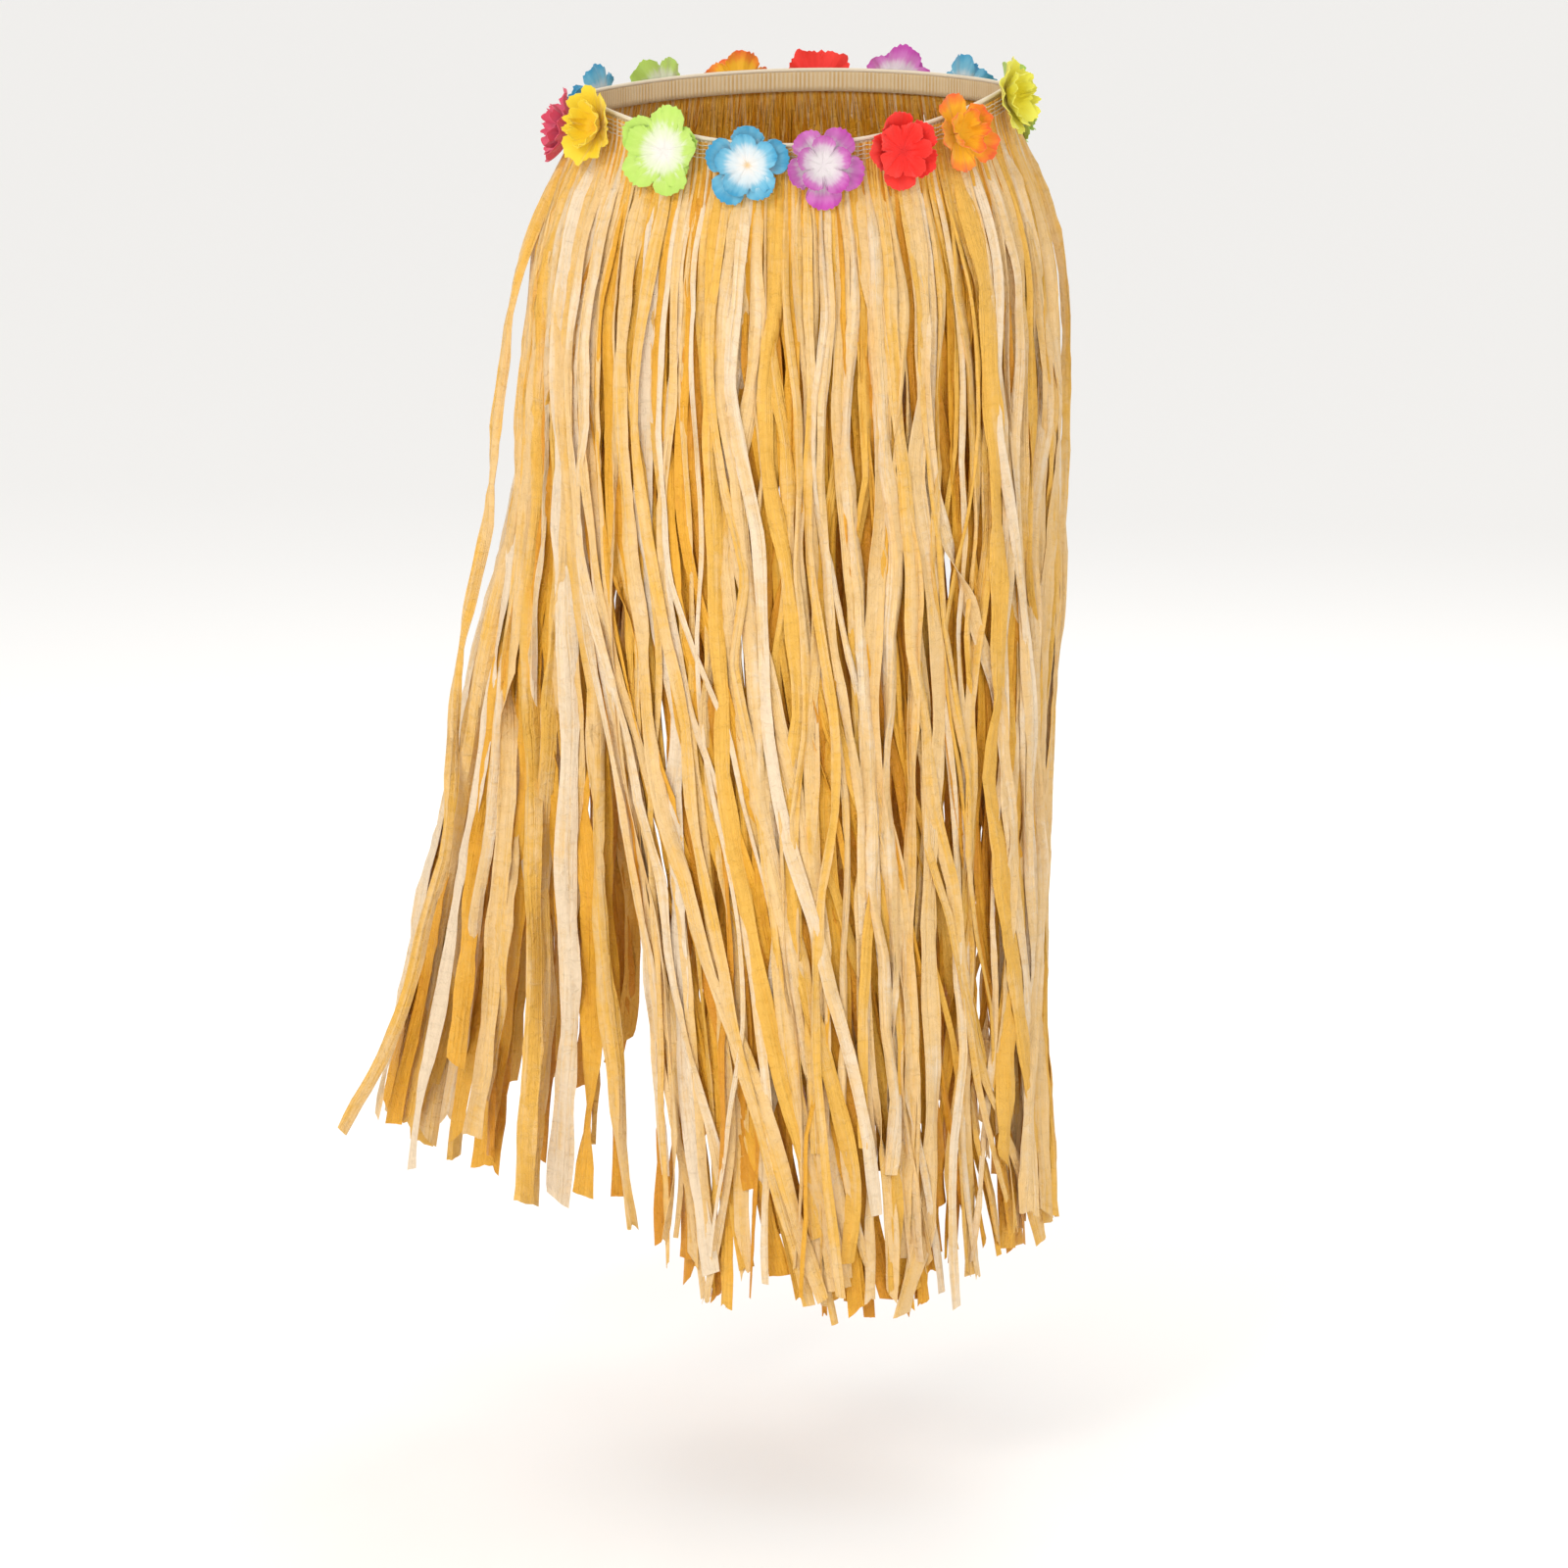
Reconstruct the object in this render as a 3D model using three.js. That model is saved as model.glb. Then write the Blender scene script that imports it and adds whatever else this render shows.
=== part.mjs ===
// A long raffia hula skirt, worn low on the hips in mid step, so that it hangs round an empty hollow.
// Millimetres, +Z up, -Y is the front and +X is the right-hand side as seen from the front.
// The origin is the centre of the waistband, where the hips hold it.
import * as THREE from "three";

// ---- Driving dimensions ----
const strandLength = 790; // each strip of raffia, from its head on the band to its cut end
const bandSide = 145; // half width of the waistband's ellipse
const bandDepth = 112; // half depth of the waistband's ellipse
const bandHeight = 16;
const bandThickness = 2;
const frontDip = 30; // how far the middle of the front hangs below the band's sides
const backRise = 8; // how far the middle of the back stands above them
const bandRoll = 1.3; // degrees that the band rises towards the right
const seamGap = 0.4; // between pieces that touch

const lockCount = 27; // locks of raffia
const headInset = 3.5; // the band's edge that shows above the heads of the raffia
const headThickness = 2;
const lockThickness = 9; // a lock at its fullest
const tipThickness = 2.5;
const edgeShare = 0.45; // how thick a lock's two edges are, against its middle
const fluffReach = 70; // how far down a lock takes to fluff out from its head
const thinFrom = 0.8; // the share of a lock's length where it starts to thin out to its tip
const topGapShare = 0.012; // of a lock's width, left open on each side of it at the band
const hemGapShare = 0.06; // the same at the hem
const lockColumns = [-1, -0.36, 0.36, 1]; // across a lock, from edge to edge
const lockRows = 12;
const evenRowShare = 0.35; // the rest of the rows' spacing closes up towards the band
const rowBend = 1.6;
// The cut ends rise and fall in waves round the hem: turn is in radians for each mm.
const hemWaves = [
  { height: 13, turn: 0.19, shift: 0 },
  { height: 9, turn: 0.47, shift: 1 },
];

const petalThickness = 1;
const petalCount = 5;
const frontPetalShare = 0.82; // of the back petals' radius
const frontCupShare = 1.35; // the front petals stand up more
const flowerLowSeat = 38; // how far down a flower's back petals rest on the raffia
const petalWaist = 0.4; // the inner ring of points, as a share of the radius
// One petal's edge: turn is counted in petals from its middle, reach is a share of the radius.
const petalOutline = [
  { turn: -0.5, reach: 0.52 }, // the notch between two petals
  { turn: -0.22, reach: 0.97 },
  { turn: 0.22, reach: 0.97 },
];

// The middle of the raffia at each level below the band, before the step swings it: how far it
// stands to the sides, front and back of the origin. swing is the share of the hem's swing.
const levels = [
  { drop: -8, side: 147.4, front: 114.4, back: 114.4, swing: 0 },
  { drop: 8, side: 147.6, front: 114.6, back: 114.6, swing: 0 },
  { drop: 36, side: 155, front: 118, back: 124, swing: 0 },
  { drop: 75, side: 167, front: 124, back: 136, swing: 0 },
  { drop: 120, side: 176, front: 128, back: 143, swing: 0 },
  { drop: 190, side: 179, front: 132, back: 147, swing: 0.02 },
  { drop: 260, side: 178, front: 136, back: 150, swing: 0.08 },
  { drop: 340, side: 175, front: 140, back: 153, swing: 0.22 },
  { drop: 420, side: 170, front: 144, back: 156, swing: 0.38 },
  { drop: 500, side: 163, front: 147, back: 160, swing: 0.54 },
  { drop: 580, side: 157, front: 149, back: 164, swing: 0.7 },
  { drop: 660, side: 152, front: 151, back: 168, swing: 0.83 },
  { drop: 740, side: 154, front: 153, back: 172, swing: 0.93 },
  { drop: 840, side: 160, front: 155, back: 176, swing: 1 },
];
// How far the step swings the hem to the right and to the back. at is a place round the band,
// counted in locks from the middle of the front, left negative. The raffia parts at -4.5 and
// -10.5, where the left-hand side trails behind the rest.
const swings = [
  { at: -13.5, right: 14, back: 30 },
  { at: -10.5, right: 10, back: 40 },
  { at: -10.5, right: -45, back: 105 },
  { at: -9, right: -130, back: 150 },
  { at: -7, right: -160, back: 140 },
  { at: -5.6, right: -75, back: 95 },
  { at: -4.5, right: 4, back: 55 },
  { at: -4.5, right: 31, back: -4 },
  { at: 0, right: 27, back: -8 },
  { at: 4.5, right: 25, back: -6 },
  { at: 8, right: 12, back: 6 },
  { at: 13.5, right: 14, back: 30 },
];

// Flowers from the left-hand side, across the front and on round the back. arc is in mm round the
// band from the middle of the front, drop is below the middle of the band, spin turns the petals
// in degrees, and frontTurn is from the back petals to the front ones.
const flowers = [
  { colour: "pink", arc: -199, drop: 18, radius: 26, cup: 8, spin: 12, frontTurn: 36 },
  { colour: "yellow", arc: -146, drop: 5, radius: 27, cup: 9, spin: 40, frontTurn: 36 },
  { colour: "green", arc: -86, drop: 6, radius: 28.5, cup: 5, spin: 8, frontTurn: 12 },
  { colour: "blue", arc: -30, drop: 7, radius: 26.5, cup: 5, spin: 18, frontTurn: 10 },
  { colour: "purple", arc: 18, drop: 7, radius: 26, cup: 6, spin: 54, frontTurn: 36 },
  { colour: "red", arc: 71, drop: 6, radius: 22.5, cup: 8, spin: 36, frontTurn: 36 },
  { colour: "orange", arc: 114, drop: 6, radius: 24, cup: 6, spin: 36, frontTurn: 36 },
  { colour: "yellow", arc: 171, drop: -3, radius: 26, cup: 9, spin: 30, frontTurn: 36 },
  { colour: "green", arc: 226, drop: 6, radius: 28, cup: 6, spin: 50, frontTurn: 36 },
  { colour: "blue", arc: 281, drop: 7, radius: 27, cup: 6, spin: 14, frontTurn: 10 },
  { colour: "purple", arc: 335, drop: 5, radius: 27.5, cup: 7, spin: 34, frontTurn: 36 },
  { colour: "red", arc: 390, drop: 6, radius: 26, cup: 8, spin: 62, frontTurn: 36 },
  { colour: "orange", arc: 443, drop: 7, radius: 27, cup: 6, spin: 26, frontTurn: 36 },
  { colour: "green", arc: 498, drop: 5, radius: 28, cup: 6, spin: 46, frontTurn: 12 },
  { colour: "blue", arc: 553, drop: 6, radius: 27, cup: 6, spin: 4, frontTurn: 10 },
];
const petalColours = {
  pink: 0xe8597f,
  yellow: 0xf6d31c,
  green: 0xb6e04c,
  blue: 0x35a3cf,
  purple: 0xc246ad,
  red: 0xe8231c,
  orange: 0xf69a22,
};

// A few strips have sprung out of the locks. out is how far one stands off the raffia's middle.
const strays = [
  {
    name: "stray_strand_left",
    at: -6.6,
    width: 11,
    route: [
      { drop: 52, out: 8 },
      { drop: 90, out: 16 },
      { drop: 150, out: 26 },
      { drop: 215, out: 24 },
      { drop: 290, out: 19 },
      { drop: 370, out: 25 },
      { drop: 450, out: 17 },
      { drop: 540, out: 10 },
      { drop: 620, out: 19 },
      { drop: 690, out: 37 },
      { drop: 752, out: 62 },
    ],
  },
  {
    name: "stray_strand_right",
    at: 7.1,
    width: 9,
    route: [
      { drop: 56, out: 8 },
      { drop: 100, out: 12 },
      { drop: 160, out: 14 },
      { drop: 230, out: 13 },
      { drop: 300, out: 9 },
      { drop: 380, out: 8 },
      { drop: 470, out: 9 },
      { drop: 560, out: 12 },
      { drop: 650, out: 10 },
      { drop: 730, out: 12 },
    ],
  },
];
const strayThickness = 1.5;

// ---- The skirt's form ----
// A place on the form has an arc, in mm round the band from the middle of the front, left
// negative, and a drop below the middle of the band.
const radians = THREE.MathUtils.degToRad;
const smooth = THREE.MathUtils.smoothstep;
const mix = THREE.MathUtils.lerp;

// Angles from the front for arcs round the band.
const bandTable = [{ angle: 0, arc: 0 }];
const bandSteps = 1440;
for (let i = 1; i <= bandSteps; i += 1) {
  const angle = (i * 2 * Math.PI) / bandSteps;
  const middle = angle - Math.PI / bandSteps;
  const speed = Math.hypot(bandSide * Math.cos(middle), bandDepth * Math.sin(middle));
  bandTable.push({ angle, arc: bandTable[i - 1].arc + (speed * 2 * Math.PI) / bandSteps });
}
const bandLength = bandTable[bandSteps].arc;
const lockPitch = bandLength / lockCount;

function angleAtArc(arc) {
  const turns = Math.floor(arc / bandLength);
  const rest = arc - turns * bandLength;
  const i = Math.max(1, bandTable.findIndex((row) => row.arc >= rest));
  const [from, to] = [bandTable[i - 1], bandTable[i]];
  return mix(from.angle, to.angle, (rest - from.arc) / (to.arc - from.arc)) + turns * 2 * Math.PI;
}

// A level of the form at any drop, on a smooth curve through the table's rows.
function levelAt(drop) {
  const last = levels.length - 1;
  let i = 0;
  while (i < last - 1 && drop > levels[i + 1].drop) i += 1;
  const [before, from, to, after] = [-1, 0, 1, 2].map(
    (k) => levels[THREE.MathUtils.clamp(i + k, 0, last)],
  );
  const span = to.drop - from.drop;
  const t = THREE.MathUtils.clamp((drop - from.drop) / span, 0, 1);
  const level = {};
  for (const key of ["side", "front", "back", "swing"]) {
    const start = ((to[key] - before[key]) / (to.drop - before.drop)) * span;
    const end = ((after[key] - from[key]) / (after.drop - from.drop)) * span;
    level[key] =
      (2 * t ** 3 - 3 * t ** 2 + 1) * from[key] +
      (t ** 3 - 2 * t ** 2 + t) * start +
      (3 * t ** 2 - 2 * t ** 3) * to[key] +
      (t ** 3 - t ** 2) * end;
  }
  return level;
}

// The hem's swing at an arc.
function swingAt(arc) {
  let at = arc / lockPitch;
  at -= Math.round(at / lockCount) * lockCount;
  let i = 1;
  while (i < swings.length - 1 && at > swings[i].at) i += 1;
  const [from, to] = [swings[i - 1], swings[i]];
  const share = (at - from.at) / (to.at - from.at);
  return { right: mix(from.right, to.right, share), back: mix(from.back, to.back, share) };
}

// The height of the band's middle at an angle from the front.
function bandRise(angle) {
  const along = Math.cos(angle);
  const roll = Math.tan(radians(bandRoll)) * bandSide * Math.sin(angle);
  return roll + (along > 0 ? -frontDip : backRise) * along ** 2;
}

// The middle of the raffia.
function formPoint(arc, drop) {
  const angle = angleAtArc(arc);
  const across = Math.sin(angle);
  const along = Math.cos(angle);
  const level = levelAt(drop);
  const swing = swingAt(arc);
  return new THREE.Vector3(
    across * level.side + level.swing * swing.right,
    -along * (along > 0 ? level.front : level.back) + level.swing * swing.back,
    bandRise(angle) - drop,
  );
}

function formNormal(arc, drop) {
  const reach = topGapShare * lockPitch * 0.5; // stays on its own side of a parting
  const round = formPoint(arc + reach, drop).sub(formPoint(arc - reach, drop));
  const down = formPoint(arc, drop + 1).sub(formPoint(arc, drop - 1));
  return down.cross(round).normalize();
}

// The drop at which a strip that hangs at this arc has used up a length.
function dropAtLength(arc, length) {
  const step = 5;
  let drop = headInset - bandHeight / 2;
  let used = 0;
  let here = formPoint(arc, drop);
  for (;;) {
    const next = formPoint(arc, drop + step);
    const stretch = next.distanceTo(here);
    if (used + stretch >= length) return drop + (step * (length - used)) / stretch;
    used += stretch;
    drop += step;
    here = next;
  }
}

// ---- Solids ----
// A closed solid from two grids of points that face each other, grid[row][column].
function slabGeometry(outer, inner) {
  const rows = outer.length;
  const columns = outer[0].length;
  const positions = [...outer.flat(), ...inner.flat()].flatMap((p) => p.toArray());
  const out = (row, column) => row * columns + column;
  const inn = (row, column) => rows * columns + out(row, column);
  const index = [];
  const quad = (a, b, c, d) => index.push(a, b, c, a, c, d);
  for (let r = 0; r < rows - 1; r += 1) {
    for (let c = 0; c < columns - 1; c += 1) {
      quad(out(r, c), out(r + 1, c), out(r + 1, c + 1), out(r, c + 1));
      quad(inn(r, c), inn(r, c + 1), inn(r + 1, c + 1), inn(r + 1, c));
    }
    quad(out(r, 0), inn(r, 0), inn(r + 1, 0), out(r + 1, 0));
    quad(out(r, columns - 1), out(r + 1, columns - 1), inn(r + 1, columns - 1), inn(r, columns - 1));
  }
  for (let c = 0; c < columns - 1; c += 1) {
    quad(out(0, c), out(0, c + 1), inn(0, c + 1), inn(0, c));
    quad(out(rows - 1, c), inn(rows - 1, c), inn(rows - 1, c + 1), out(rows - 1, c + 1));
  }
  return geometryOf(positions, index);
}

function geometryOf(positions, index) {
  const geometry = new THREE.BufferGeometry();
  geometry.setAttribute("position", new THREE.Float32BufferAttribute(positions, 3));
  geometry.setIndex(index);
  geometry.computeVertexNormals();
  return geometry;
}

// The tilted elliptical tape of the waistband.
function waistbandGeometry() {
  const segments = 84;
  const profile = [
    { out: bandThickness / 2, up: bandHeight / 2 },
    { out: bandThickness / 2, up: -bandHeight / 2 },
    { out: -bandThickness / 2, up: -bandHeight / 2 },
    { out: -bandThickness / 2, up: bandHeight / 2 },
  ];
  const positions = [];
  const index = [];
  for (let i = 0; i < segments; i += 1) {
    const angle = (i * 2 * Math.PI) / segments;
    for (const { out, up } of profile) {
      const x = (bandSide + out) * Math.sin(angle);
      const y = -(bandDepth + out) * Math.cos(angle);
      positions.push(x, y, bandRise(angle) + up);
    }
    for (let k = 0; k < 4; k += 1) {
      const [a, b] = [i * 4 + k, i * 4 + ((k + 1) % 4)];
      const [c, d] = [a, b].map((v) => (v + 4) % (segments * 4));
      index.push(a, b, d, a, d, c);
    }
  }
  return geometryOf(positions, index);
}

// A lock's thickness at a share of its length, and at a share of the way from its edge to its middle.
function lockThicknessAt(drop, share, inward) {
  const fluffed = smooth(drop, bandHeight / 2, fluffReach);
  const full = mix(headThickness, lockThickness, fluffed);
  const thinned = mix(full, tipThickness, smooth(share, thinFrom, 1));
  return thinned * mix(mix(1, edgeShare, fluffed), 1, inward);
}

// One lock of raffia: a slab of the skirt's form whose cut end is uneven.
function lockGeometry(number) {
  const outer = [];
  const inner = [];
  for (let r = 0; r < lockRows; r += 1) {
    const share = r / (lockRows - 1);
    const spaced = mix(share ** rowBend, share, evenRowShare);
    const gap = mix(topGapShare, hemGapShare, share);
    const rows = { outer: [], inner: [] };
    for (const column of lockColumns) {
      const arc = (number + column * (0.5 - gap)) * lockPitch;
      let end = strandLength;
      for (const { height, turn, shift } of hemWaves) end += height * Math.sin(arc * turn + shift);
      const drop = dropAtLength(arc, end * spaced);
      const inward = Math.abs(column) < 1 ? 1 : 0;
      const half = lockThicknessAt(drop, share, inward) / 2;
      const middle = formPoint(arc, drop);
      const normal = formNormal(arc, drop);
      rows.outer.push(middle.clone().addScaledVector(normal, half));
      rows.inner.push(middle.clone().addScaledVector(normal, -half));
    }
    outer.push(rows.outer);
    inner.push(rows.inner);
  }
  return slabGeometry(outer, inner);
}

// A single strip that has sprung out of the skirt's side.
function strayGeometry({ at, width, route }) {
  const arc = at * lockPitch;
  const outer = [];
  const inner = [];
  for (const { drop, out } of route) {
    const normal = formNormal(arc, drop);
    const middle = formPoint(arc, drop).addScaledVector(normal, out);
    const sideways = new THREE.Vector3(0, 0, 1).cross(normal).normalize();
    const corners = [-1, 1].map((side) => middle.clone().addScaledVector(sideways, (side * width) / 2));
    outer.push(corners.map((p) => p.clone().addScaledVector(normal, strayThickness / 2)));
    inner.push(corners.map((p) => p.clone().addScaledVector(normal, -strayThickness / 2)));
  }
  return slabGeometry(outer, inner);
}

// ---- Flowers ----
// The plane that a flower lies in: it rests on the band's top edge and on the raffia below.
function flowerSeat(arc, drop) {
  const out = formNormal(arc, 0);
  const top = formPoint(arc, -bandHeight / 2).addScaledVector(out, headThickness / 2);
  const low = formPoint(arc, flowerLowSeat);
  low.addScaledVector(formNormal(arc, flowerLowSeat), lockThicknessAt(flowerLowSeat, 0, 1) / 2);
  const up = top.clone().sub(low).normalize();
  const right = up.clone().cross(out).normalize();
  const normal = right.clone().cross(up).normalize();
  const share = (drop + bandHeight / 2) / (flowerLowSeat + bandHeight / 2);
  return { centre: top.lerp(low, share), right, up, normal };
}

// One layer of petals, die-cut in one piece and cupped outwards.
function petalGeometry({ radius, cup, spin, lift, seat }) {
  const corners = petalOutline.length;
  const rings = [petalOutline.map(() => petalWaist), petalOutline.map(({ reach }) => reach)];
  const count = petalCount * corners;
  const place = (turn, reach, offset) => {
    const theta = radians(spin) + (turn * 2 * Math.PI) / petalCount;
    const across = radius * reach;
    return seat.centre
      .clone()
      .addScaledVector(seat.right, across * Math.cos(theta))
      .addScaledVector(seat.up, across * Math.sin(theta))
      .addScaledVector(seat.normal, lift + cup * reach ** 2 + offset);
  };
  const positions = [];
  for (const offset of [petalThickness, 0]) {
    positions.push(...place(0, 0, offset).toArray());
    for (const ring of rings) {
      for (let i = 0; i < count; i += 1) {
        const turn = Math.floor(i / corners) + petalOutline[i % corners].turn;
        positions.push(...place(turn, ring[i % corners], offset).toArray());
      }
    }
  }
  const index = [];
  const side = 1 + rings.length * count; // vertices on one face
  for (let i = 0; i < count; i += 1) {
    const next = (i + 1) % count;
    const [a, b] = [1 + i, 1 + next];
    const [c, d] = [a + count, b + count];
    index.push(0, a, b, a, c, d, a, d, b);
    index.push(side, side + b, side + a, side + a, side + d, side + c, side + a, side + b, side + d);
    index.push(c, side + c, side + d, c, side + d, d);
  }
  return geometryOf(positions, index);
}

// ---- The object ----
const skirt = new THREE.Group();
const colours = {
  elastic: new THREE.MeshStandardMaterial({ color: 0xf3e2c0, roughness: 0.85, metalness: 0 }),
  raffia: new THREE.MeshStandardMaterial({ color: 0xf0cd8c, roughness: 0.55, metalness: 0 }),
};

function addPiece(name, geometry, material) {
  const piece = new THREE.Mesh(geometry, material);
  piece.name = name;
  skirt.add(piece);
}

const numbered = (i) => String(i + 1).padStart(2, "0");

addPiece("waistband", waistbandGeometry(), colours.elastic);
for (let i = 0; i < lockCount; i += 1) {
  addPiece(`raffia_lock_${numbered(i)}`, lockGeometry(i), colours.raffia);
}
for (const stray of strays) addPiece(stray.name, strayGeometry(stray), colours.raffia);

flowers.forEach((flower, i) => {
  const seat = flowerSeat(flower.arc, flower.drop);
  const material = new THREE.MeshStandardMaterial({
    color: petalColours[flower.colour],
    roughness: 0.6,
    metalness: 0,
  });
  const back = { ...flower, seat, lift: seamGap };
  const front = {
    radius: flower.radius * frontPetalShare,
    cup: flower.cup * frontCupShare,
    spin: flower.spin + flower.frontTurn,
    lift: back.lift + petalThickness + seamGap,
    seat,
  };
  addPiece(`flower_${numbered(i)}_back_petals`, petalGeometry(back), material);
  addPiece(`flower_${numbered(i)}_front_petals`, petalGeometry(front), material);
});

export default skirt;
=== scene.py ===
import math

import bpy
import numpy as np
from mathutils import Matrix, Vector


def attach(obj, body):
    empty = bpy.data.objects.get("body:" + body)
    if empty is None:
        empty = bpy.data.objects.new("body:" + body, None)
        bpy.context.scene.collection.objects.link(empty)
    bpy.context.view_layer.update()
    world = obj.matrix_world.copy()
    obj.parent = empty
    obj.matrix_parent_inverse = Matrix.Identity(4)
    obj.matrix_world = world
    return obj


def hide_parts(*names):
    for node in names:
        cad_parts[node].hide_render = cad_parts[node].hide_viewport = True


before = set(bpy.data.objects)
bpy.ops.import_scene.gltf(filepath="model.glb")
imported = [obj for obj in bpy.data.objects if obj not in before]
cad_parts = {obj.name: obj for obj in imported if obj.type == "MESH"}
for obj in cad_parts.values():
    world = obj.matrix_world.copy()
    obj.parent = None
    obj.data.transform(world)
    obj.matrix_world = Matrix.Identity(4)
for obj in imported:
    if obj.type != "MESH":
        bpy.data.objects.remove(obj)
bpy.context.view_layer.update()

mm = 0.001

# Camera, floor and light.
shot = {
    "eye": (-7 * mm, -3.5, 0.2),
    "lookAt": (-7 * mm, 0, -478 * mm),
    "span": 1.105,  # what the frame takes in at lookAt
    "floorUnderBand": 0.97,  # a bare-footed wearer's ground
    "paper": (0.97, 0.965, 0.955, 1),
    "sky": (1, 0.99, 0.975, 1),
    "skyStrength": 0.9,
}


def setStage():
    eye, target = Vector(shot["eye"]), Vector(shot["lookAt"])
    camera = bpy.data.objects.new("camera", bpy.data.cameras.new("camera"))
    bpy.context.collection.objects.link(camera)
    camera.location = eye
    camera.rotation_euler = (target - eye).to_track_quat("-Z", "Y").to_euler()
    camera.data.lens = camera.data.sensor_width * (target - eye).length / shot["span"]
    camera.data.clip_end = 200
    bpy.context.scene.camera = camera

    bpy.ops.object.select_all(action="DESELECT")
    bpy.ops.mesh.primitive_plane_add(size=60, location=(0, 15, -shot["floorUnderBand"]))
    floor = bpy.context.object
    floor.name = "floor"
    paper = bpy.data.materials.new("palePaper")
    paper.use_nodes = True
    paper.node_tree.nodes["Principled BSDF"].inputs["Base Color"].default_value = shot["paper"]
    paper.node_tree.nodes["Principled BSDF"].inputs["Roughness"].default_value = 0.95
    floor.data.materials.append(paper)

    world = bpy.data.worlds.new("studio")
    world.use_nodes = True
    world.node_tree.nodes["Background"].inputs["Color"].default_value = shot["sky"]
    world.node_tree.nodes["Background"].inputs["Strength"].default_value = shot["skyStrength"]
    bpy.context.scene.world = world
    bpy.context.scene.view_settings.view_transform = "Standard"

    lamps = [
        {"name": "key", "at": (-1.7, -3.0, 1.7), "size": 1.0, "watts": 42, "tint": (1, 0.97, 0.92)},
        {"name": "fill", "at": (-0.4, -3.7, -0.2), "size": 2.4, "watts": 25, "tint": (1, 0.97, 0.93)},
        {"name": "left", "at": (-3.2, -1.8, -0.8), "size": 1.8, "watts": 24, "tint": (1, 0.96, 0.90)},
        {"name": "right", "at": (3.0, -2.2, 0.3), "size": 1.6, "watts": 13, "tint": (1, 0.97, 0.93)},
        {"name": "rim", "at": (0.6, 2.6, 1.8), "size": 1.6, "watts": 30, "tint": (1, 1, 1)},
    ]
    for lamp in lamps:
        light = bpy.data.objects.new(lamp["name"], bpy.data.lights.new(lamp["name"], "AREA"))
        bpy.context.collection.objects.link(light)
        light.data.size = lamp["size"]
        light.data.energy = lamp["watts"]
        light.data.color = lamp["tint"]
        light.location = lamp["at"]
        aim = Vector((0, 0, -0.35)) - Vector(lamp["at"])
        light.rotation_euler = aim.to_track_quat("-Z", "Y").to_euler()


setStage()
print("stage set")

# The form that the solids have, with the same tables.
band = {
    "side": 145 * mm,
    "depth": 112 * mm,
    "height": 16 * mm,
    "frontDip": 30 * mm,
    "backRise": 8 * mm,
    "roll": math.radians(1.3),
    "locks": 27,
}
# the middle of the raffia at each drop under the band, mm, before the step swings it
levels = [
    {"drop": -8, "side": 147.4, "front": 114.4, "back": 114.4, "swing": 0},
    {"drop": 8, "side": 147.6, "front": 114.6, "back": 114.6, "swing": 0},
    {"drop": 36, "side": 155, "front": 118, "back": 124, "swing": 0},
    {"drop": 75, "side": 167, "front": 124, "back": 136, "swing": 0},
    {"drop": 120, "side": 176, "front": 128, "back": 143, "swing": 0},
    {"drop": 190, "side": 179, "front": 132, "back": 147, "swing": 0.02},
    {"drop": 260, "side": 178, "front": 136, "back": 150, "swing": 0.08},
    {"drop": 340, "side": 175, "front": 140, "back": 153, "swing": 0.22},
    {"drop": 420, "side": 170, "front": 144, "back": 156, "swing": 0.38},
    {"drop": 500, "side": 163, "front": 147, "back": 160, "swing": 0.54},
    {"drop": 580, "side": 157, "front": 149, "back": 164, "swing": 0.7},
    {"drop": 660, "side": 152, "front": 151, "back": 168, "swing": 0.83},
    {"drop": 740, "side": 154, "front": 153, "back": 172, "swing": 0.93},
    {"drop": 840, "side": 160, "front": 155, "back": 176, "swing": 1},
]
# how far the step swings the hem, mm, at places counted in locks round from the front
swings = [
    {"at": -13.5, "right": 14, "back": 30},
    {"at": -10.51, "right": 10, "back": 40},
    {"at": -10.49, "right": -45, "back": 105},
    {"at": -9, "right": -130, "back": 150},
    {"at": -7, "right": -160, "back": 140},
    {"at": -5.6, "right": -75, "back": 95},
    {"at": -4.51, "right": 4, "back": 55},
    {"at": -4.49, "right": 31, "back": -4},
    {"at": 0, "right": 27, "back": -8},
    {"at": 4.5, "right": 25, "back": -6},
    {"at": 8, "right": 12, "back": 6},
    {"at": 13.5, "right": 14, "back": 30},
]

ringAngles = np.linspace(0, 2 * math.pi, 1441)
ringMiddles = (ringAngles[1:] + ringAngles[:-1]) / 2
ringSpeed = np.hypot(band["side"] * np.cos(ringMiddles), band["depth"] * np.sin(ringMiddles))
ringArcs = np.concatenate([[0], np.cumsum(ringSpeed * np.diff(ringAngles))])
bandLength = ringArcs[-1]
lockPitch = bandLength / band["locks"]


def angleAt(arc):
    return np.interp(np.mod(arc, bandLength), ringArcs, ringAngles)


# a column of the levels, on a smooth curve through its rows
def levelAt(key, drop):
    drops = np.array([row["drop"] for row in levels]) * mm
    values = np.array([row[key] for row in levels], float)
    before = np.concatenate([[0], np.arange(len(levels) - 1)])
    after = np.minimum(np.arange(len(levels)) + 1, len(levels) - 1)
    slopes = (values[after] - values[before]) / (drops[after] - drops[before])
    drop = np.clip(drop, drops[0], drops[-1])
    i = np.clip(np.searchsorted(drops, drop, side="right") - 1, 0, len(levels) - 2)
    span = drops[i + 1] - drops[i]
    t = (drop - drops[i]) / span
    return (
        (2 * t**3 - 3 * t**2 + 1) * values[i]
        + (t**3 - 2 * t**2 + t) * slopes[i] * span
        + (3 * t**2 - 2 * t**3) * values[i + 1]
        + (t**3 - t**2) * slopes[i + 1] * span
    )


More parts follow.
